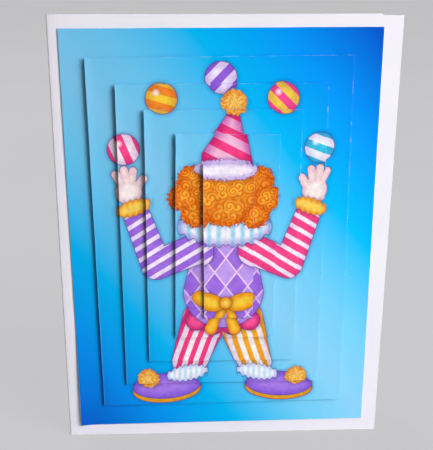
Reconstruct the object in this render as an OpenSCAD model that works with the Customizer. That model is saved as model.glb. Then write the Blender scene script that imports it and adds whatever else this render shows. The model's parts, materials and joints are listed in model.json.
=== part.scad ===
// Greeting card with a stepped picture: a folded card blank, a base print taped to its front
// and five smaller prints of the same picture, each raised on foam pads over the one below.
// The card stands a little open. Millimetres, X to the right, Y to the back, Z up, with the
// origin in the middle of the front panel's foot.

/* [Card blank] */
// Width of each panel, from the crease to the open edge
panel_w = 152.4; // [120:0.1:200]
// Height of each panel
panel_h = 203.2; // [150:0.1:260]
// Thickness of the card stock
stock_t = 0.4; // [0.25:0.05:0.8]
// Gap between the two panels when the card is shut
shut_gap = 0.3; // [0.2:0.05:1]
// Height that the pressed crease stands proud of the panels' outer faces
crease_swell = 0.05; // [0.02:0.01:0.15]
// Running clearance between the crease and the front panel
crease_clear = 0.05; // [0.03:0.01:0.15]
// Angle between the panels of the standing card, in degrees
open_angle = 10; // [5:1:60]

/* [Base print] */
// Bare card beside the base print, at the crease
margin_crease = 4.8; // [2:0.1:15]
// Bare card beside the base print, at the open edge
margin_open = 7.8; // [2:0.1:15]
// Bare card over the base print
margin_head = 5.3; // [2:0.1:15]
// Bare card under the base print
margin_foot = 6.4; // [2:0.1:15]
// Turn of the base print, which was laid by hand, in degrees
base_turn = 0.4; // [-0.8:0.1:0.8]
// Thickness of every printed sheet
sheet_t = 0.25; // [0.15:0.05:0.5]

/* [Raised prints] */
// Width of the topmost print
top_w = 22.8; // [15:0.1:40]
// Height of the topmost print
top_h = 74.5; // [50:0.1:100]

/* [Tape and foam pads] */
// Thickness of the double-sided tape
tape_t = 0.15; // [0.1:0.05:0.3]
// Width of a strip of tape
tape_w = 6; // [3:0.5:12]
// Distance from the base print's edge to the tape
tape_inset = 3; // [1:0.5:10]
// Gap between an upright strip of tape and the end of a level one
tape_gap = 1; // [0.5:0.5:5]
// Side of a square foam pad
pad_side = 5; // [3:0.5:6]
// Thickness of a foam pad
pad_t = 1; // [0.5:0.1:3]
// Distance from a print's edge to its outer pads
pad_inset = 3; // [1:0.5:4]
// Distance between neighbouring pads, at most about this
pad_pitch = 40; // [20:1:80]

/* [Hidden] */
$fn = 48;

card_white = [0.95, 0.94, 0.96];
tape_white = [0.90, 0.90, 0.86];
foam_white = [0.97, 0.97, 0.95];
print_blue = [0.25, 0.66, 0.90];

// The crease is a round bead on the back panel, and the front panel turns round it
crease_x = -panel_w / 2;
crease_y = stock_t / 2 + shut_gap / 2;
crease_r = stock_t + shut_gap / 2 + crease_swell;
groove_r = crease_r + crease_clear;

// The stack grows to the front, towards -Y, from the front panel's outer face
base_w = panel_w - margin_crease - margin_open;
base_h = panel_h - margin_head - margin_foot;
base_x = (margin_crease - margin_open) / 2;
base_z = margin_foot + base_h / 2;
base_back_y = -stock_t / 2 - tape_t;

// Each print is smaller than the one below by the same step all round
raised_prints = 5;
step_x = (base_w - top_w) / raised_prints / 2;
step_z = (base_h - top_h) / raised_prints / 2;
rise = pad_t + sheet_t;

// The prints were laid by hand: shift and turn of each one from a true stack, base print first
laid_x = [0, -0.4, -0.1, 0, 1.5, 2.6];
laid_z = [0, -0.2, 0, 0.7, 1.8, 0.7];
laid_turn = [base_turn, 0.7, 0.3, -0.1, -0.7, 0.3];

function print_w(level) = base_w - 2 * step_x * level;
function print_h(level) = base_h - 2 * step_z * level;
function print_back_y(level) = base_back_y - rise * level;

// Pads stand in even rows that begin and end pad_inset from the print's edges
function pad_span(length) = length - 2 * pad_inset - pad_side;
function pad_count(length, least) = max(least, round(pad_span(length) / pad_pitch) + 1);
function pad_place(length, count, i) = pad_span(length) * (i / (count - 1) - 0.5);

// A sheet's own frame: its middle at the origin, its back face on the plane of X and Z
module laid(level) {
    translate([base_x + laid_x[level], print_back_y(level), base_z + laid_z[level]])
        rotate([0, -laid_turn[level], 0])
            children();
}

// A flat rectangle, centred in X and Z, that reaches from Y = 0 to the front
module slab(width, thickness, height) {
    translate([-width / 2, -thickness, -height / 2])
        cube([width, thickness, height]);
}

module printed_sheet(level) {
    color(print_blue)
        laid(level)
            slab(print_w(level), sheet_t, print_h(level));
}

// The foam pads behind one print: those at its corners, or all the others
module foam_pads(level, at_corners) {
    columns = pad_count(print_w(level), 2);
    rows = pad_count(print_h(level), 3);
    color(foam_white)
        laid(level)
            for (i = [0 : columns - 1], j = [0 : rows - 1]) {
                corner = (i == 0 || i == columns - 1) && (j == 0 || j == rows - 1);
                if (corner == at_corners)
                    translate([
                        pad_place(print_w(level), columns, i),
                        pad_t,
                        pad_place(print_h(level), rows, j)
                    ])
                        slab(pad_side, pad_t, pad_side);
            }
}

module card_front() {
    color(card_white)
        difference() {
            translate([0, stock_t / 2, panel_h / 2])
                slab(panel_w, stock_t, panel_h);
            translate([crease_x, crease_y, -1])
                cylinder(r = groove_r, h = panel_h + 2);
        }
}

module card_back() {
    color(card_white)
        translate([crease_x, crease_y, 0])
            rotate([0, 0, open_angle])
                union() {
                    cylinder(r = crease_r, h = panel_h);
                    translate([0, shut_gap / 2, 0])
                        cube([panel_w, stock_t, panel_h]);
                }
}

// Upright strips run the whole height inside the inset, and the level ones fit between them
tape_reach_x = base_w / 2 - tape_inset;
tape_reach_z = base_h / 2 - tape_inset;

module tape_sides() {
    color(tape_white)
        laid(0)
            for (side = [-1, 1])
                translate([side * (tape_reach_x - tape_w / 2), tape_t, 0])
                    slab(tape_w, tape_t, 2 * tape_reach_z);
}

module tape_ends() {
    color(tape_white)
        laid(0)
            for (end = [-1, 1])
                translate([0, tape_t, end * (tape_reach_z - tape_w / 2)])
                    slab(2 * (tape_reach_x - tape_w - tape_gap), tape_t, tape_w);
}

module base_print() {
    printed_sheet(0);
}

module print_1() {
    printed_sheet(1);
}

module print_2() {
    printed_sheet(2);
}

module print_3() {
    printed_sheet(3);
}

module print_4() {
    printed_sheet(4);
}

module print_5() {
    printed_sheet(5);
}

module corner_pads_1() {
    foam_pads(1, true);
}

module corner_pads_2() {
    foam_pads(2, true);
}

module corner_pads_3() {
    foam_pads(3, true);
}

module corner_pads_4() {
    foam_pads(4, true);
}

module corner_pads_5() {
    foam_pads(5, true);
}

module middle_pads_1() {
    foam_pads(1, false);
}

module middle_pads_2() {
    foam_pads(2, false);
}

module middle_pads_3() {
    foam_pads(3, false);
}

module middle_pads_4() {
    foam_pads(4, false);
}

module middle_pads_5() {
    foam_pads(5, false);
}

card_front();
card_back();
tape_sides();
tape_ends();
base_print();
print_1();
print_2();
print_3();
print_4();
print_5();
corner_pads_1();
corner_pads_2();
corner_pads_3();
corner_pads_4();
corner_pads_5();
middle_pads_1();
middle_pads_2();
middle_pads_3();
middle_pads_4();
middle_pads_5();
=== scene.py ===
import json
import math

import bpy
from mathutils import Matrix, Vector


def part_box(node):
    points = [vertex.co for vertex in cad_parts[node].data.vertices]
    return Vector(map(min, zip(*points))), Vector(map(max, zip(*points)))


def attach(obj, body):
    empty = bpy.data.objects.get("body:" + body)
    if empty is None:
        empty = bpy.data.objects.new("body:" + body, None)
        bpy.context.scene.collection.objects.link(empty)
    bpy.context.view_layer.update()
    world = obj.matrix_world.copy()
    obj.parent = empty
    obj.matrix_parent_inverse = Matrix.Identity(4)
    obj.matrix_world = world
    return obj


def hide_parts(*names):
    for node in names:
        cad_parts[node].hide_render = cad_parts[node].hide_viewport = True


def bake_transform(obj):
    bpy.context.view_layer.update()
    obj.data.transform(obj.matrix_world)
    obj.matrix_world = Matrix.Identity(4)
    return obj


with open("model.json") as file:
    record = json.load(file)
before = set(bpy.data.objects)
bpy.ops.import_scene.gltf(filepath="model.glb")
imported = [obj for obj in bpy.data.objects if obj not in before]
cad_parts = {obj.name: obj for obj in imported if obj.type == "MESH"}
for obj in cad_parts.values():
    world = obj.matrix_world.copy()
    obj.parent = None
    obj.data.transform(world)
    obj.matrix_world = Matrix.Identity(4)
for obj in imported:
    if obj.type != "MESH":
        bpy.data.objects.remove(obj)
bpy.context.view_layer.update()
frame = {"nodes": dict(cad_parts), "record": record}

MM = 0.001
scene = bpy.context.scene
scene.view_settings.view_transform = "Standard"


# The camera stands 0.35 m in front of the card, a little to the left of its middle and just
# above its top edge, and looks down on the printed front.
lens = bpy.data.cameras.new("card_view")
lens.sensor_width = 36
lens.lens = 63.06
camera = bpy.data.objects.new("card_view", lens)
camera_place = Vector((-19.20, -346.23, 219.84)) * MM
camera_aim = Vector((-4.20, -0.2, 109.40)) * MM
camera_roll = math.radians(0.24)
aimed = (camera_aim - camera_place).to_track_quat("-Z", "Y").to_matrix()
aimed = aimed @ Matrix.Rotation(camera_roll, 3, "Z")
camera.matrix_world = Matrix.Translation(camera_place) @ aimed.to_4x4()
scene.collection.objects.link(camera)
scene.camera = camera


# The studio is a pale paper floor that runs to the horizon. A broad soft lamp from the upper
# right and a nearer one beside the card draw a fine shadow along each left edge of the stack,
# and a third lamp lights the back.
def linear(code):
    parts = [int(code[i:i + 2], 16) / 255 for i in (1, 3, 5)]
    levels = [p / 12.92 if p <= 0.04045 else ((p + 0.055) / 1.055) ** 2.4 for p in parts]
    return tuple(levels) + (1.0,)


def feed(tree, socket, value):
    if isinstance(value, bpy.types.NodeSocket):
        tree.links.new(value, socket)
    elif value is not None:
        socket.default_value = value


def add(tree, kind, *values, **settings):
    node = tree.nodes.new(kind)
    for name, value in settings.items():
        setattr(node, name, value)
    for socket, value in zip(node.inputs, values):
        feed(tree, socket, value)
    return node


def math_node(tree, operation, *values, clamp=False):
    return add(tree, "ShaderNodeMath", *values, operation=operation, use_clamp=clamp).outputs[0]


def own_place(tree):
    return add(tree, "ShaderNodeTexCoord").outputs["Object"]


def noise(tree, place, scale, detail, roughness=None, gives="Fac"):
    return add(tree, "ShaderNodeTexNoise", place, None, scale, detail, roughness).outputs[gives]


def two_tones(tree, value, low, high, start=0.0, end=1.0):
    ramp = add(tree, "ShaderNodeValToRGB", value)
    for stop, position, code in zip(ramp.color_ramp.elements, (start, end), (low, high)):
        stop.position = position
        stop.color = linear(code)
    return ramp.outputs["Color"]


def new_surface(name, roughness, specular=0.5):
    material = bpy.data.materials.new(name)
    material.use_nodes = True
    shader = material.node_tree.nodes["Principled BSDF"]
    shader.inputs["Roughness"].default_value = roughness
    shader.inputs["Specular IOR Level"].default_value = specular
    return material, material.node_tree, shader


def seen_directly(tree):
    ray = add(tree, "ShaderNodeLightPath")
    seen = math_node(tree, "MAXIMUM", ray.outputs["Is Camera Ray"], ray.outputs["Is Glossy Ray"])
    return math_node(tree, "MAXIMUM", seen, ray.outputs["Is Transmission Ray"])


floor_bounce = 0.62
floor_glow = 0.84
floor_paper, tree, shader = new_surface("floor_paper", roughness=0.9, specular=0.1)
mottle = noise(tree, own_place(tree), scale=3.0, detail=4.0)
pale = two_tones(tree, mottle, "#cdccce", "#d3d2d4")
dimmed = add(tree, "ShaderNodeHueSaturation", None, None, floor_bounce, None, pale)
feed(tree, shader.inputs["Base Color"], dimmed.outputs["Color"])
glow = add(tree, "ShaderNodeEmission", pale)
glow_share = math_node(tree, "MULTIPLY", seen_directly(tree), floor_glow)
both = add(tree, "ShaderNodeMixShader", glow_share, shader.outputs[0], glow.outputs[0])
feed(tree, tree.nodes["Material Output"].inputs["Surface"], both.outputs[0])

floor_half = 14.0
floor_mesh = bpy.data.meshes.new("floor")
floor_corners = [(-floor_half, -floor_half, 0), (floor_half, -floor_half, 0),
                 (floor_half, floor_half, 0), (-floor_half, floor_half, 0)]
floor_mesh.from_pydata(floor_corners, [], [(0, 1, 2, 3)])
floor_mesh.materials.append(floor_paper)
floor = bpy.data.objects.new("floor", floor_mesh)
scene.collection.objects.link(floor)


def soft_lamp(name, place, width, spread, power, colour):
    light = bpy.data.lights.new(name, "AREA")
    light.shape = "DISK"
    light.size = width
    light.spread = math.radians(spread)
    light.energy = power
    light.color = linear(colour)[:3]
    lamp = bpy.data.objects.new(name, light)
    turn = (card_middle - Vector(place)).to_track_quat("-Z", "Y")
    lamp.matrix_world = Matrix.Translation(place) @ turn.to_matrix().to_4x4()
    lamp.visible_camera = False
    scene.collection.objects.link(lamp)


card_middle = Vector((0, 0, 0.1))
soft_lamp("key_lamp", (2.95, -2.2, 2.25), width=3.2, spread=70, power=34.0, colour="#fbfaff")
soft_lamp("side_lamp", (0.70, -0.49, 0.28), width=0.46, spread=90, power=1.30, colour="#fbfaff")
soft_lamp("back_lamp", (-2.6, 3.0, 2.2), width=2.4, spread=60, power=19.6, colour="#fdfdff")

sky = bpy.data.worlds.new("studio")
sky.use_nodes = True
tree = sky.node_tree
even_light = tree.nodes["Background"]
even_light.inputs["Color"].default_value = linear("#eef0f6")
even_light.inputs["Strength"].default_value = 0.006
toward = add(tree, "ShaderNodeTexCoord").outputs["Generated"]
height = add(tree, "ShaderNodeSeparateXYZ", toward).outputs[2]
pale = two_tones(tree, height, "#c1c0c2", "#d0cfd1", end=0.4)
backdrop = add(tree, "ShaderNodeBackground", pale, 1.0).outputs[0]
both = add(tree, "ShaderNodeMixShader", seen_directly(tree), even_light.outputs[0], backdrop)
feed(tree, tree.nodes["World Output"].inputs["Surface"], both.outputs[0])
scene.world = sky


# The card blank is one sheet of white card, smooth outside and matt inside, creased once down
# the left side and folded so that it stands by itself in a narrow V. The guillotined edges
# keep a hair of rounding.
smooth_limit = math.radians(20)
round_limit = math.radians(40)


def new_piece(name, mesh):
    piece = bpy.data.objects.new(name, mesh)
    scene.collection.objects.link(piece)
    return piece


def thicken(piece, thickness, offset, cut_slot=0):
    solid = piece.modifiers.new("thickness", "SOLIDIFY")
    solid.thickness = thickness
    solid.offset = offset
    solid.material_offset = 1
    solid.material_offset_rim = cut_slot


def round_edges(piece, width, slot=-1):
    rounding = piece.modifiers.new("cut_edges", "BEVEL")
    rounding.width = width
    rounding.segments = 2
    rounding.limit_method = "ANGLE"
    rounding.angle_limit = round_limit
    rounding.material = slot


def from_modifiers(name, made):
    bpy.context.view_layer.update()
    seen = made.evaluated_get(bpy.context.evaluated_depsgraph_get())
    mesh = bpy.data.meshes.new_from_object(seen)
    mesh.name = name
    made.modifiers.clear()
    old = made.data
    made.data = mesh
    bpy.data.meshes.remove(old)
    mesh.shade_smooth()
    mesh.set_sharp_from_angle(angle=smooth_limit)


def add_bump(tree, shader, height, strength, distance, invert=False):
    bump = add(tree, "ShaderNodeBump", invert=invert)
    feed(tree, bump.inputs["Strength"], strength)
    feed(tree, bump.inputs["Distance"], distance)
    feed(tree, bump.inputs["Height"], height)
    feed(tree, shader.inputs["Normal"], bump.outputs["Normal"])


def paper_surface(name, bright, shade, roughness, grain, cloud_scale=30.0, clouds=(0.3, 0.7)):
    material, tree, shader = new_surface(name, roughness, specular=0.2)
    place = own_place(tree)
    cloud = noise(tree, place, cloud_scale, detail=3.0)
    feed(tree, shader.inputs["Base Color"], two_tones(tree, cloud, shade, bright, *clouds))
    fibre = noise(tree, place, scale=2600.0, detail=5.0, roughness=0.6)
    add_bump(tree, shader, fibre, strength=grain, distance=0.04 * MM)
    return material


card_white = paper_surface("card_white", "#f6f4f8", "#f2f0f5", roughness=0.62, grain=0.35)
# the inside is a greyer copy of the same white card: painted shade on the inner faces
card_inside_shaded = paper_surface("card_inside_shaded", "#e3e1e6", "#dfdde2", roughness=0.8, grain=0.6)
front_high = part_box("card_front")[1]
card_h = front_high.z
open_x = front_high.x
stock = 0.4 * MM
crease_x = -76.2 * MM
crease_y = 0.35 * MM
bend_r = crease_y
panel_w = open_x - crease_x
v_angle = math.radians(-frame["record"]["behaviour"]["joints"][0]["range_deg"][0])
bow = 0.5 * MM
out_of_square = 0.6 * MM
panel_columns = 32
bend_steps = 12
card_rows = 44

# stations along the sheet, seen from above: the place, the way out of the card there, and the
# share of the back panel's width that is passed
stations = []
for step in range(panel_columns + 1):
    place = Vector((open_x - panel_w * step / panel_columns, 0))
    stations.append((place, Vector((0, -1)), 0))
crease_middle = Vector((crease_x, crease_y))
for step in range(1, bend_steps):
    angle = math.radians(-90) - (math.pi - v_angle) * step / bend_steps
    outward = Vector((math.cos(angle), math.sin(angle)))
    stations.append((crease_middle + outward * bend_r, outward, 0))
along = Vector((math.cos(v_angle), math.sin(v_angle)))
outward = Vector((-math.sin(v_angle), math.cos(v_angle)))
for step in range(panel_columns + 1):
    share = step / panel_columns
    place = crease_middle + outward * bend_r + along * panel_w * share
    stations.append((place, outward, share))

points = []
for row in range(card_rows + 1):
    up = row / card_rows
    belly = math.sin(math.pi * up)
    for place, outward, share in stations:
        swell = bow * belly * math.sin(math.pi * share) if share else 0
        moved = place + outward * swell
        points.append((moved.x, moved.y, up * (card_h - out_of_square * share)))
count = len(stations)
faces = []
for row in range(card_rows):
    for i in range(count - 1):
        a = row * count + i
        faces.append((a, a + count, a + count + 1, a + 1))
sheet = bpy.data.meshes.new("folded_card")
sheet.from_pydata(points, [], faces)
sheet.materials.append(card_white)
sheet.materials.append(card_inside_shaded)
folded_card = new_piece("folded_card", sheet)
thicken(folded_card, stock, offset=0)
round_edges(folded_card, width=0.06 * MM)
from_modifiers("folded_card", folded_card)
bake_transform(folded_card)
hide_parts("card_front", "card_back")


# Strips of double-sided tape hold the base print on the card's front, two long ones beside
# the edges and two short ones between them. The CAD solids are the strips themselves.
tape_film, tree, shader = new_surface("tape_film", roughness=0.35)
smear = noise(tree, own_place(tree), scale=260.0, detail=3.0)
feed(tree, shader.inputs["Base Color"], two_tones(tree, smear, "#dcd6c8", "#ece8de"))
for name in ("tape_sides", "tape_ends"):
    strip = frame["nodes"][name]
    strip.data.materials.clear()
    strip.data.materials.append(tape_film)


# The base print is a sheet of semi-gloss photo paper, printed to its edges by ink-jet and cut
# by hand with scissors and ruler. The ink has soaked into the cut and left bare spots there,
# and the lower left edge has come off the card a little.
def measured(node):
    mesh = frame["nodes"][node].data
    front = min(v.co.y for v in mesh.vertices)
    back = max(v.co.y for v in mesh.vertices)
    face = [v.co for v in mesh.vertices if abs(v.co.y - front) < 0.01 * MM]
    low_left = min(face, key=lambda c: c.x + c.z)
    low_right = max(face, key=lambda c: c.x - c.z)
    high_left = min(face, key=lambda c: c.x - c.z)
    high_right = max(face, key=lambda c: c.x + c.z)
    run = low_right - low_left
    return {"w": run.length, "h": (high_left - low_left).length, "thick": back - front,
            "middle": (low_left + high_right) / 2, "turn": math.atan2(run.z, run.x)}


# the colours of a mix go in at its sockets 6 and 7 and come out at 2
def ink(tree, amount, below, above, mode="MIX"):
    node = add(tree, "ShaderNodeMix", data_type="RGBA", blend_type=mode)
    feed(tree, node.inputs[0], amount)
    feed(tree, node.inputs[6], below)
    feed(tree, node.inputs[7], above)
    return node.outputs[2]


def span(tree, value, start, end, low=0.0, high=1.0, kind="LINEAR"):
    values = (value, start, end, low, high)
    return add(tree, "ShaderNodeMapRange", *values, interpolation_type=kind).outputs[0]


def vector_node(tree, operation, *values):
    node = add(tree, "ShaderNodeVectorMath", *values, operation=operation)
    gives_number = operation in ("DISTANCE", "LENGTH", "DOT_PRODUCT")
    return node.outputs[1] if gives_number else node.outputs[0]


def scaled(tree, vector, factor):
    node = add(tree, "ShaderNodeVectorMath", vector, operation="SCALE")
    feed(tree, node.inputs["Scale"], factor)
    return node.outputs[0]


def new_group(name, kind, inputs, outputs):
    group = bpy.data.node_groups.new(name, kind)
    sockets = group.interface
    for label, shape, value in inputs:
        socket = sockets.new_socket(label, in_out="INPUT", socket_type="NodeSocket" + shape)
        if value is not None:
            socket.default_value = value
    for label, shape in outputs:
        sockets.new_socket(label, in_out="OUTPUT", socket_type="NodeSocket" + shape)
    given = group.nodes.new("NodeGroupInput").outputs
    return group, given, group.nodes.new("NodeGroupOutput").inputs


# limb: a rounded bar that tapers from one end to the other; gives the distance to its outline
limb_group, given, result = new_group("limb", "ShaderNodeTree", [
    ("Place", "Vector", (0, 0, 0)), ("From", "Vector", (0, 0, 0)), ("Run", "Vector", (1, 0, 0)),
    ("Run Over Square", "Vector", (1, 0, 0)), ("Radius", "Float", 5), ("Taper", "Float", 0)],
    [("Distance", "Float")])
offset = vector_node(limb_group, "SUBTRACT", given["Place"], given["From"])
reach = vector_node(limb_group, "DOT_PRODUCT", offset, given["Run Over Square"])
reach = math_node(limb_group, "ADD", reach, 0.0, clamp=True)
nearest = vector_node(limb_group, "MULTIPLY", given["Run"], reach)
apart = vector_node(limb_group, "DISTANCE", offset, nearest)
girth = math_node(limb_group, "MULTIPLY_ADD", reach, given["Taper"], given["Radius"])
feed(limb_group, result["Distance"], math_node(limb_group, "SUBTRACT", apart, girth))

# painted_form: an airbrushed shade round the form, a thin ink line, and the form's own colour
# that darkens towards its outline
halo_ink = (0.12, 0.16, 0.42, 1)
halo_reach = 2.6
halo_depth = 0.42
line_blur = 0.16
edge_blur = 0.14
form_group, given, result = new_group("painted_form", "ShaderNodeTree", [
    ("Below", "Color", (1, 1, 1, 1)), ("Distance", "Float", 0), ("Ink", "Color", (1, 1, 1, 1)),
    ("Shade", "Color", (0.6, 0.55, 0.75, 1)), ("Depth", "Float", 5),
    ("Line", "Color", (0.05, 0.02, 0.12, 1)), ("Line Width", "Float", 0.35),
    ("Brush", "Color", (1, 1, 1, 1))],
    [("Colour", "Color")])
outside = math_node(form_group, "DIVIDE", given["Distance"], halo_reach)
halo = span(form_group, outside, 1.0, -0.2, 0.0, halo_depth, "SMOOTHSTEP")
under = ink(form_group, halo, given["Below"], halo_ink, "MULTIPLY")
rim = math_node(form_group, "SUBTRACT", given["Distance"], given["Line Width"])
under = ink(form_group, span(form_group, rim, line_blur, -line_blur), under, given["Line"])
deep = math_node(form_group, "DIVIDE", given["Distance"], given["Depth"])
fall = span(form_group, deep, -1.0, 0.1, 0.0, 1.0, "SMOOTHSTEP")
body = ink(form_group, fall, given["Ink"], given["Shade"], "MULTIPLY")
body = ink(form_group, 1.0, body, given["Brush"], "MULTIPLY")
inside = span(form_group, given["Distance"], edge_blur, -edge_blur)
feed(form_group, result["Colour"], ink(form_group, inside, under, body))

# the picture is drawn from the sheet's middle, in millimetres, and made a little smaller
figure_scale = 0.93
fuzz_height = 0.9
stripe_blur = 0.12
least_slope = 1e-4
print_face, tree, shader = new_surface("print_face", roughness=0.33, specular=0.09)
picture = add(tree, "ShaderNodeAttribute", attribute_name="picture").outputs["Vector"]
spot = scaled(tree, picture, 1 / MM / figure_scale)
axes = add(tree, "ShaderNodeSeparateXYZ", spot)
mirrored = math_node(tree, "ABSOLUTE", axes.outputs[0])
pair = add(tree, "ShaderNodeCombineXYZ", mirrored, axes.outputs[1], 0.0).outputs[0]
right_half = span(tree, axes.outputs[0], -0.1, 0.1)
fuzz = noise(tree, spot, scale=0.75, detail=1.6)
fuzz = span(tree, fuzz, 0.3, 0.7, -fuzz_height, fuzz_height)
brush = noise(tree, spot, scale=0.32, detail=6.0, roughness=0.62)
brush = ink(tree, span(tree, brush, 0.32, 0.68), (0.88, 0.86, 0.93, 1), (1.16, 1.14, 1.1, 1))


def on_sheet(place):
    return tuple(place) + (0,)


def two_inks(amount, first, second):
    return ink(tree, amount, linear(first), linear(second))


def grouped(group, values):
    node = add(tree, "ShaderNodeGroup", node_tree=group)
    for label, value in values.items():
        feed(tree, node.inputs[label], value)
    return node.outputs[0]


def limb(where, start, end, radius, end_radius):
    run = Vector(end) - Vector(start)
    return grouped(limb_group, {
        "Place": where, "From": on_sheet(start), "Run": on_sheet(run),
        "Run Over Square": on_sheet(run / run.length_squared),
        "Radius": radius, "Taper": end_radius - radius})


def ball(where, middle, radius):
    apart = vector_node(tree, "DISTANCE", where, on_sheet(middle))
    return math_node(tree, "SUBTRACT", apart, radius)


def oval(where, middle, half_w, half_h, turn=0.0):
    moved = vector_node(tree, "SUBTRACT", where, on_sheet(middle))
    if turn:
        spun = add(tree, "ShaderNodeVectorRotate", moved, rotation_type="Z_AXIS")
        spun.inputs["Angle"].default_value = math.radians(-turn)
        moved = spun.outputs[0]
    rounded = vector_node(tree, "MULTIPLY", moved, (1 / half_w, 1 / half_h, 1))
    far = vector_node(tree, "LENGTH", rounded)
    slope = vector_node(tree, "MULTIPLY", moved, (half_w ** -2, half_h ** -2, 1))
    slope = math_node(tree, "MAXIMUM", vector_node(tree, "LENGTH", slope), least_slope)
    rise = math_node(tree, "MULTIPLY", far, math_node(tree, "SUBTRACT", far, 1.0))
    return math_node(tree, "DIVIDE", rise, slope)


def joined(*distances):
    whole = distances[0]
    for other in distances[1:]:
        whole = math_node(tree, "MINIMUM", whole, other)
    return whole


def wavy(distance, wave, amount=1.0):
    return math_node(tree, "MULTIPLY_ADD", wave, amount, distance)


def paint(below, distance, colour, shade="#e8dff4", depth=5.0, line="#4a3a80", width=0.3):
    if isinstance(colour, str):
        colour = linear(colour)
    return grouped(form_group, {
        "Below": below, "Distance": distance, "Ink": colour, "Shade": linear(shade),
        "Depth": depth, "Line": linear(line), "Line Width": width, "Brush": brush})


def pompom(below, where, middle, radius):
    local = vector_node(tree, "SUBTRACT", where, on_sheet(middle))
    far = vector_node(tree, "LENGTH", local)
    around = vector_node(tree, "MULTIPLY", vector_node(tree, "NORMALIZE", local), (6, 6, 0))
    outward = add(tree, "ShaderNodeCombineXYZ", 0.0, 0.0, far).outputs[0]
    strand = vector_node(tree, "ADD", around, outward)
    strand = noise(tree, strand, scale=0.7, detail=3.0, roughness=0.6)
    yarn = two_inks(span(tree, strand, 0.36, 0.64), "#f2a024", "#ffee86")
    edge = span(tree, strand, 0.3, 0.7, radius * 0.86, radius * 1.14)
    edge = math_node(tree, "SUBTRACT", far, edge)
    return paint(below, edge, yarn, "#f2c084", radius, "#a8641c", 0.2)


def stripes(where, direction, pitch, share=0.5):
    run = Vector(direction).normalized()
    along = vector_node(tree, "DOT_PRODUCT", where, on_sheet(run))
    fold = math_node(tree, "PINGPONG", along, pitch / 2)
    edge = pitch / 2 * share
    return span(tree, fold, edge - stripe_blur, edge + stripe_blur)


def diamonds(where, wide, tall):
    bands = []
    for way in (1, -1):
        along = vector_node(tree, "DOT_PRODUCT", where, (1 / wide, way / tall, 0))
        fold = math_node(tree, "PINGPONG", along, 1.0)
        bands.append(math_node(tree, "SUBTRACT", fold, 0.5))
    odd = span(tree, math_node(tree, "MULTIPLY", *bands), -0.006, 0.006)
    to_seam = [math_node(tree, "ABSOLUTE", band) for band in bands]
    seam = span(tree, math_node(tree, "MINIMUM", *to_seam), 0.055, 0.03)
    return odd, seam


# the ground: one blue, palest along a slant from the top left to the bottom right, with painted
# light and shade over it: darker towards the crease and brighter towards the right edge
base = measured("base_print")
slant = vector_node(tree, "DOT_PRODUCT", picture, (0.95 / base["w"], 1.05 / base["h"], 0))
slant = math_node(tree, "ABSOLUTE", math_node(tree, "ADD", slant, 0.02))
wash = add(tree, "ShaderNodeValToRGB", slant)
wash_stops = [(0.0, "#8cd8fe"), (0.2, "#74d6ff"), (0.45, "#00c0ff"), (0.72, "#009afc"),
              (1.0, "#0055cc")]
for position, code in wash_stops[2:]:
    wash.color_ramp.elements.new(position)
for stop, (position, code) in zip(wash.color_ramp.elements, wash_stops):
    stop.position = position
    stop.color = linear(code)
# painted light and shade: the blue is multiplied darker on the crease side and brighter on the right
from_crease = add(tree, "ShaderNodeSeparateXYZ", picture).outputs[0]
from_crease = span(tree, math_node(tree, "DIVIDE", from_crease, base["w"]), -0.36, 0.46)
painted_side_light = ink(tree, from_crease, (0.84, 0.88, 0.87, 1), (1.14, 1.07, 1.0, 1))
canvas = ink(tree, 1.0, wash.outputs["Color"], painted_side_light, "MULTIPLY")

# five juggling balls in an arc, each striped in two colours, with a spot of light
ball_r = 7.4
balls = [((-47, 47), "#ff4a8c", "#fff0f6", (1, 0.4)), ((-28.7, 71), "#ffd23e", "#ff932e", (0.3, 1)),
         ((0, 80.5), "#9a66e0", "#f2e8ff", (1, -1)), ((28.7, 71), "#ff5096", "#ffd850", (1, 1)),
         ((47, 47), "#38c8e6", "#f4fdff", (0.4, 1))]
for middle, first, second, direction in balls:
    local = vector_node(tree, "SUBTRACT", spot, on_sheet(middle))
    colour = two_inks(stripes(local, direction, ball_r), first, second)
    canvas = paint(canvas, ball(spot, middle, ball_r), colour, "#e2d2e6", 5.5)
    glint = ball(local, (-2.4, 2.8), 1.1)
    canvas = ink(tree, span(tree, glint, 0.9, -0.9, 0, 0.85), canvas, (1, 1, 1, 1))

# trousers with upright stripes, frilled ankles and long shoes with pompoms
leg_top = Vector((9, -42))
leg_end = Vector((17, -66))
leg_run = leg_end - leg_top
leg_stripes = stripes(pair, (-leg_run.y, leg_run.x), 5.2)
bold = two_inks(right_half, "#ff3f80", "#fcae22")
pale = two_inks(right_half, "#fdf3f8", "#fdf8ee")
leg_ink = ink(tree, leg_stripes, bold, pale)
canvas = paint(canvas, limb(pair, leg_top, leg_end, 11.5, 8.8), leg_ink, depth=7)
canvas = paint(canvas, oval(pair, (29.5, -82), 17.8, 7.4, -4), "#ffc838", "#ecbc70", 3)
canvas = paint(canvas, oval(pair, (29.5, -79.6), 17.5, 7.4, -4), "#ad80ea", "#c8b8ec", 6)
canvas = pompom(canvas, pair, (38.5, -75), 5.4)
frill = math_node(tree, "SINE", math_node(tree, "MULTIPLY", mirrored, 2.2))
ankle = wavy(oval(pair, (18.4, -72), 10.5, 4.2, -10), frill, 0.55)
ankle_ink = two_inks(span(tree, frill, -0.6, 0.6), "#c9eaf7", "#ffffff")
canvas = paint(canvas, ankle, ankle_ink, depth=3)

# jacket with a scalloped hem and a harlequin pattern
hem = joined(ball(pair, (4.6, -44.5), 5.4), ball(pair, (13.4, -42.2), 5.4))
canvas = paint(canvas, hem, "#ff5c9c", "#d07ac0", 4)
odd, seam = diamonds(spot, 11.0, 15.0)
cloth = two_inks(odd, "#a674e4", "#c8a2f2")
cloth = ink(tree, seam, cloth, linear("#f6d9f2"))
canvas = paint(canvas, limb(spot, (0, -3), (0, -26), 15, 20), cloth, depth=9)

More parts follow.
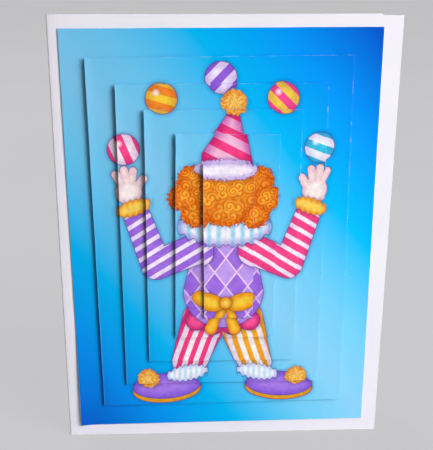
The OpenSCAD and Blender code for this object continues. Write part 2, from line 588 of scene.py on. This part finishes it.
# sleeves, cuffs and gloves, held up to the balls
elbow = (33, -12)
bold = two_inks(right_half, "#a674e4", "#ff4a8a")
sleeve_ink = ink(tree, stripes(pair, (1, 1.6), 5.6, 0.62), bold, linear("#fff4fc"))
sleeve = joined(limb(pair, (14, -4), elbow, 8.0, 7.4), limb(pair, elbow, (41.5, 13), 7.4, 6.4))
canvas = paint(canvas, sleeve, sleeve_ink, depth=6)
glove = joined(ball(pair, (45.2, 26), 6.3), limb(pair, (42, 27), (38.4, 32.5), 2.3, 1.9),
               limb(pair, (44.5, 29), (43, 36.5), 2.2, 1.9),
               limb(pair, (46, 29), (47.3, 37), 2.2, 1.9),
               limb(pair, (47.5, 28), (51.2, 35), 2.2, 1.9))
canvas = paint(canvas, glove, "#fff4ec", "#ecd0d8", 4, "#6a4a80", 0.25)
cuff = wavy(oval(pair, (43.3, 18), 8.6, 3.8, -18), frill, 0.4)
canvas = paint(canvas, cuff, "#ffd65a", "#ecb05a", 3, "#a8641c", 0.25)

# a sash tied in a bow
tails = limb(pair, (1, -33), (6, -47), 1.6, 3.0)
loops = oval(pair, (8, -31), 7.8, 4.6, 18)
knot = ball(spot, (0, -31.5), 3.2)
canvas = paint(canvas, tails, "#ffc83a", "#ecb050", 2.4, "#9a5a18", 0.25)
canvas = paint(canvas, loops, "#ffd23c", "#eeb050", 4.2, "#9a5a18", 0.25)
canvas = paint(canvas, knot, "#ffd858", "#e8a040", 3, "#9a5a18", 0.25)

# pleated ruff
pleat = math_node(tree, "SINE", math_node(tree, "MULTIPLY", mirrored, 1.35))
ruff = wavy(oval(spot, (0, 7.5), 23, 8.6), pleat, 0.8)
ruff_ink = two_inks(span(tree, pleat, -0.9, 0.7), "#a9dff2", "#ffffff")
canvas = paint(canvas, ruff, ruff_ink, "#c8b8e8", 5)

# curly hair from behind, and a tall cone hat with a pompom
hair = joined(ball(pair, (0, 26), 17), ball(pair, (16, 31), 7.2),
              ball(pair, (19.5, 22.5), 7.2), ball(pair, (14.5, 14.5), 7))
lock = add(tree, "ShaderNodeTexVoronoi", spot, None, 0.22)
local = vector_node(tree, "SUBTRACT", spot, lock.outputs["Position"])
far = vector_node(tree, "LENGTH", local)
local = add(tree, "ShaderNodeSeparateXYZ", local)
around = math_node(tree, "ARCTAN2", local.outputs[1], local.outputs[0])
curl = math_node(tree, "SINE", math_node(tree, "MULTIPLY_ADD", far, 4.4, around))
hair_ink = two_inks(span(tree, curl, -0.9, 0.7), "#ee7a1c", "#ffc03c")
hair_ink = ink(tree, span(tree, far, 1.6, 3.6, 0.0, 0.55), hair_ink, linear("#d85c14"))
canvas = paint(canvas, wavy(hair, fuzz), hair_ink, "#eaa866", 7, "#8a3c10", 0.25)
hat_ink = two_inks(stripes(spot, (0.5, 1), 8.4), "#ff4488", "#ffc4de")
over_brim = math_node(tree, "SUBTRACT", 37.0, axes.outputs[1])
hat = math_node(tree, "MAXIMUM", limb(spot, (0.6, 42), (5, 65), 12.2, 2.0), over_brim)
canvas = paint(canvas, hat, hat_ink, "#d08ad0", 7)
band = oval(spot, (0, 36.8), 15.2, 4.6)
canvas = paint(canvas, wavy(band, fuzz, 0.8), "#fdf6ff", "#c8b4e4", 4, "#7a5aa8", 0.2)
canvas = pompom(canvas, spot, (5.4, 69), 6.0)

# the ink-jet's fine grain over the whole picture
grain = noise(tree, spot, scale=3.2, detail=2.0, roughness=0.6)
grain = ink(tree, span(tree, grain, 0.3, 0.7), (0.965, 0.965, 0.97, 1), (1.02, 1.02, 1.02, 1))
canvas = ink(tree, 1.0, canvas, grain, "MULTIPLY")

# the ink is rubbed off here and there along the cut, where the white paper shows, and the same pale
# marks are a painted highlight along the lit top and right edges and beside the left edge's shadow:
# the patches of each worn and lit edge start at one level of the noise and show with one strength
wear_highlight_rise = 0.24
wear_highlight_near = -0.1 * MM
wear_highlight_far = 0.3 * MM
wear_highlight_blur = 0.12 * MM
sides = add(tree, "ShaderNodeAttribute", attribute_name="sides").outputs["Vector"]
from_left, from_right, wear_and_highlight = add(tree, "ShaderNodeSeparateXYZ", sides).outputs
ends = add(tree, "ShaderNodeAttribute", attribute_name="ends").outputs["Vector"]
from_head = add(tree, "ShaderNodeSeparateXYZ", ends).outputs[1]
patches = noise(tree, picture, scale=160.0, detail=3.0, roughness=0.7)
worn_and_lit_edges = [(from_left, 0.2, 0.09), (from_right, 0.5, 0.72), (from_head, 0.44, 0.27)]
# each pale patch along a cut is partly wear and partly a painted highlight
for from_cut, first, amount in worn_and_lit_edges:
    reach = span(tree, patches, first, first + wear_highlight_rise, wear_highlight_near, wear_highlight_far)
    inward = math_node(tree, "SUBTRACT", from_cut, reach)
    rubbed_and_lit = span(tree, inward, wear_highlight_blur, -wear_highlight_blur, 0.0, amount)
    rubbed_and_lit = math_node(tree, "MULTIPLY", rubbed_and_lit, wear_and_highlight)
    canvas = ink(tree, rubbed_and_lit, canvas, linear("#f2f4f8"))
feed(tree, shader.inputs["Base Color"], canvas)
lustre = noise(tree, picture, scale=1400.0, detail=2.0)
add_bump(tree, shader, lustre, strength=0.2, distance=0.02 * MM)

# the sheet's white back, and its cut edge, where the ink has soaked in and left bare spots
paper_back = paper_surface("paper_back", "#fbfbfd", "#f2f2f6", roughness=0.75, grain=0.5)
inked_cut = paper_surface("inked_cut", "#f2f5fa", "#2484cc", roughness=0.75, grain=0.5,
                          cloud_scale=160.0, clouds=(0.5, 0.68))

# printed_sheet: a grid that keeps its place in the picture and its distance from each cut, with
# a wandering cut, a slight wave along the rim and a curl of the left edge
sheet_tree, given, result = new_group("printed_sheet", "GeometryNodeTree", [
    ("Width", "Float", 0.1), ("Height", "Float", 0.1), ("Cell", "Float", 0.003),
    ("Cut Wander", "Float", 0.00008), ("Rim Wave", "Float", 0.0001), ("Rim", "Float", 0.004),
    ("Foot Curl", "Float", 0.0), ("Head Curl", "Float", 0.0), ("Curl Reach", "Float", 0.005),
    ("Slip", "Vector", (0, 0, 0)), ("Turn", "Vector", (0, 0, 0)), ("Middle", "Vector", (0, 0, 0)),
    ("Wear And Highlight", "Float", 1.0), ("Seed", "Float", 0.0), ("Face", "Material", None)],
    [("Geometry", "Geometry")])


def cells(size):
    steps = math_node(sheet_tree, "DIVIDE", size, given["Cell"])
    return math_node(sheet_tree, "ADD", math_node(sheet_tree, "ROUND", steps), 1.0)


columns = cells(given["Width"])
rows = cells(given["Height"])
grid = add(sheet_tree, "GeometryNodeMeshGrid", given["Width"], given["Height"], columns, rows)
here = add(sheet_tree, "GeometryNodeInputPosition").outputs[0]
axes = add(sheet_tree, "ShaderNodeSeparateXYZ", here)
half_w = math_node(sheet_tree, "MULTIPLY", given["Width"], 0.5)
half_h = math_node(sheet_tree, "MULTIPLY", given["Height"], 0.5)
from_left = math_node(sheet_tree, "ADD", half_w, axes.outputs[0])
from_right = math_node(sheet_tree, "SUBTRACT", half_w, axes.outputs[0])
from_foot = math_node(sheet_tree, "ADD", half_h, axes.outputs[1])
from_head = math_node(sheet_tree, "SUBTRACT", half_h, axes.outputs[1])
kept = {
    "picture": vector_node(sheet_tree, "ADD", here, given["Slip"]),
    "sides": add(sheet_tree, "ShaderNodeCombineXYZ", from_left, from_right, given["Wear And Highlight"]).outputs[0],
    "ends": add(sheet_tree, "ShaderNodeCombineXYZ", from_foot, from_head, 0.0).outputs[0]}
shape = grid.outputs["Mesh"]
for name, value in kept.items():
    keep = add(sheet_tree, "GeometryNodeStoreNamedAttribute", shape,
               data_type="FLOAT_VECTOR", domain="POINT")
    keep.inputs["Name"].default_value = name
    feed(sheet_tree, keep.inputs["Value"], value)
    shape = keep.outputs[0]

from_side = math_node(sheet_tree, "MINIMUM", from_left, from_right)
from_end = math_node(sheet_tree, "MINIMUM", from_foot, from_head)
inside = math_node(sheet_tree, "MINIMUM", from_side, from_end)
seed = add(sheet_tree, "ShaderNodeCombineXYZ", 0.0, 0.0, given["Seed"]).outputs[0]
seeded = vector_node(sheet_tree, "ADD", here, seed)
wander = noise(sheet_tree, seeded, scale=55.0, detail=2.0, gives="Color")
wander = vector_node(sheet_tree, "SUBTRACT", wander, (0.5, 0.5, 0.5))
wander = vector_node(sheet_tree, "MULTIPLY", wander, (2.0, 2.0, 0.0))
at_cut = span(sheet_tree, inside, 0.01 * MM, 0.0)
cut_move = math_node(sheet_tree, "MULTIPLY", at_cut, given["Cut Wander"])
cut_move = scaled(sheet_tree, wander, cut_move)

wave = noise(sheet_tree, seeded, scale=28.0, detail=1.0)
at_rim = math_node(sheet_tree, "DIVIDE", inside, given["Rim"])
at_rim = span(sheet_tree, at_rim, 1.0, 0.0, kind="SMOOTHSTEP")
rim_lift = math_node(sheet_tree, "MULTIPLY", wave, at_rim)
rim_lift = math_node(sheet_tree, "MULTIPLY", rim_lift, given["Rim Wave"])

up_share = math_node(sheet_tree, "DIVIDE", from_foot, given["Height"])
at_foot = span(sheet_tree, up_share, 0.3, 0.0, kind="SMOOTHSTEP")
at_head = span(sheet_tree, up_share, 0.35, 0.85, kind="SMOOTHSTEP")
curl_lift = math_node(sheet_tree, "MULTIPLY", at_head, given["Head Curl"])
curl_lift = math_node(sheet_tree, "MULTIPLY_ADD", at_foot, given["Foot Curl"], curl_lift)
near_left = math_node(sheet_tree, "DIVIDE", from_left, given["Curl Reach"])
near_left = math_node(sheet_tree, "SUBTRACT", 1.0, near_left, clamp=True)
near_left = math_node(sheet_tree, "MULTIPLY", near_left, near_left)
curl_lift = math_node(sheet_tree, "MULTIPLY", curl_lift, near_left)

lift = math_node(sheet_tree, "ADD", rim_lift, curl_lift)
lift = add(sheet_tree, "ShaderNodeCombineXYZ", 0.0, 0.0, lift).outputs[0]
bent = add(sheet_tree, "GeometryNodeSetPosition", shape)
feed(sheet_tree, bent.inputs["Offset"], vector_node(sheet_tree, "ADD", cut_move, lift))


def lay_and_dress(tree, shape, surface):
    laid = add(tree, "GeometryNodeTransform", shape)
    feed(tree, laid.inputs["Translation"], given["Middle"])
    feed(tree, laid.inputs["Rotation"], given["Turn"])
    real = add(tree, "GeometryNodeRealizeInstances", laid.outputs[0])
    dressed = add(tree, "GeometryNodeSetMaterial", real.outputs[0])
    feed(tree, dressed.inputs["Material"], surface)
    feed(tree, result[0], dressed.outputs[0])


lay_and_dress(sheet_tree, bent.outputs[0], given["Face"])


def run_tree(piece, tree, values):
    rule = piece.modifiers.new(tree.name, "NODES")
    rule.node_group = tree
    for item in tree.interface.items_tree:
        if item.in_out == "INPUT" and item.name in values:
            rule[item.identifier] = values[item.name]


def lay_sheet(node, foot_curl, head_curl, reach, slip, wear_and_highlight, seed):
    laid = measured(node)
    piece = new_piece(node + "_sheet", bpy.data.meshes.new(node))
    run_tree(piece, sheet_tree, {
        "Width": laid["w"], "Height": laid["h"], "Cell": 2.0 * MM, "Cut Wander": 0.13 * MM,
        "Rim Wave": 0.12 * MM, "Rim": 4.0 * MM, "Foot Curl": foot_curl, "Head Curl": head_curl,
        "Curl Reach": reach, "Slip": slip, "Wear And Highlight": wear_and_highlight, "Seed": seed, "Face": print_face,
        "Turn": (math.radians(90), -laid["turn"], 0), "Middle": tuple(laid["middle"])})
    from_modifiers(node + "_face", piece)
    piece.data.materials.clear()
    for material in (print_face, paper_back, inked_cut):
        piece.data.materials.append(material)
    thicken(piece, laid["thick"], offset=-1, cut_slot=2)
    round_edges(piece, width=0.025 * MM, slot=2)
    from_modifiers(node + "_sheet", piece)
    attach(piece, "front")
    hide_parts(node)


lay_sheet("base_print", foot_curl=0.9 * MM, head_curl=0.0, reach=9.0 * MM, slip=(0, 0, 0),
          wear_and_highlight=0.0, seed=0.0)


# Square pads of white foam, sticky on both faces and peeled from a sheet of them, hold each
# raised print 1 mm over the one below, in even rows just inside its edges.
raised_prints = 5
pad_side = 5.0 * MM
pad_inset = 3.0 * MM
pad_pitch = 40.0 * MM

foam_white, tree, shader = new_surface("foam_white", roughness=0.85)
cell = add(tree, "ShaderNodeTexVoronoi", own_place(tree), None, 4200.0).outputs["Distance"]
feed(tree, shader.inputs["Base Color"], two_tones(tree, cell, "#f7f6f2", "#dddad2"))
add_bump(tree, shader, cell, strength=0.6, distance=0.06 * MM, invert=True)

# foam_pads: a cube with swollen sides, set on the points of a grid, each turned a little
pad_tree, given, result = new_group("foam_pads", "GeometryNodeTree", [
    ("Span Across", "Float", 0.05), ("Span Up", "Float", 0.05), ("Columns", "Int", 2),
    ("Rows", "Int", 3), ("Side", "Float", 0.005), ("Thickness", "Float", 0.001),
    ("Bulge", "Float", 0.02), ("Askew", "Float", 0.05), ("Turn", "Vector", (0, 0, 0)),
    ("Middle", "Vector", (0, 0, 0)), ("Seed", "Int", 0), ("Foam", "Material", None)],
    [("Geometry", "Geometry")])
size = add(pad_tree, "ShaderNodeCombineXYZ", given["Side"], given["Side"], given["Thickness"])
block = add(pad_tree, "GeometryNodeMeshCube", size.outputs[0], 5, 5, 5)
here = add(pad_tree, "GeometryNodeInputPosition").outputs[0]
depth = add(pad_tree, "ShaderNodeSeparateXYZ", here).outputs[2]
half_t = math_node(pad_tree, "MULTIPLY", given["Thickness"], 0.5)
depth = math_node(pad_tree, "DIVIDE", depth, half_t)
belly = math_node(pad_tree, "SUBTRACT", 1.0, math_node(pad_tree, "MULTIPLY", depth, depth))
belly = math_node(pad_tree, "MULTIPLY", belly, given["Bulge"])
sideways = vector_node(pad_tree, "MULTIPLY", here, (1, 1, 0))
swollen = add(pad_tree, "GeometryNodeSetPosition", block.outputs["Mesh"])
feed(pad_tree, swollen.inputs["Offset"], scaled(pad_tree, sideways, belly))
layout = add(pad_tree, "GeometryNodeMeshGrid", given["Span Across"], given["Span Up"],
             given["Columns"], given["Rows"])
stuck = add(pad_tree, "GeometryNodeInstanceOnPoints", layout.outputs["Mesh"])
feed(pad_tree, stuck.inputs["Instance"], swollen.outputs[0])
other_way = math_node(pad_tree, "MULTIPLY", given["Askew"], -1.0)
by_hand = add(pad_tree, "FunctionNodeRandomValue", None, None, other_way, given["Askew"],
              data_type="FLOAT")
feed(pad_tree, by_hand.inputs["Seed"], given["Seed"])
askew = add(pad_tree, "ShaderNodeCombineXYZ", 0.0, 0.0, by_hand.outputs[1]).outputs[0]
feed(pad_tree, stuck.inputs["Rotation"], askew)
lay_and_dress(pad_tree, stuck.outputs[0], given["Foam"])


def pad_span(length):
    return length - 2 * pad_inset - pad_side


def pad_count(length, least):
    return max(least, round(pad_span(length) / pad_pitch) + 1)


for level in range(1, raised_prints + 1):
    over = measured("print_%d" % level)
    low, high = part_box("corner_pads_%d" % level)
    middle = (over["middle"].x, (low.y + high.y) / 2, over["middle"].z)
    pads = new_piece("foam_pads_%d" % level, bpy.data.meshes.new("foam_pads"))
    run_tree(pads, pad_tree, {
        "Span Across": pad_span(over["w"]), "Span Up": pad_span(over["h"]),
        "Columns": pad_count(over["w"], 2), "Rows": pad_count(over["h"], 3),
        "Side": pad_side, "Thickness": high.y - low.y, "Bulge": 0.02,
        "Askew": math.radians(4), "Seed": level, "Foam": foam_white,
        "Turn": (math.radians(90), -over["turn"], 0), "Middle": middle})
    from_modifiers("foam_pads_%d" % level, pads)
    pads.data.materials.clear()
    pads.data.materials.append(foam_white)
    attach(pads, "front")
    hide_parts("corner_pads_%d" % level, "middle_pads_%d" % level)


# Five smaller prints of the same picture, each cut a step inside the one below, are stuck
# on foam pads one above another, a little askew as they are placed by hand. Their left edges
# lift a little at the head and droop at the foot.
slip_share = 0.5
for level in range(1, raised_prints + 1):
    node = "print_%d" % level
    shift = (measured(node)["middle"] - base["middle"]) * slip_share
    lay_sheet(node, foot_curl=-0.2 * MM, head_curl=0.25 * MM, reach=4.0 * MM,
              slip=(shift.x, shift.z, 0), wear_and_highlight=1.0, seed=level * 1.7)
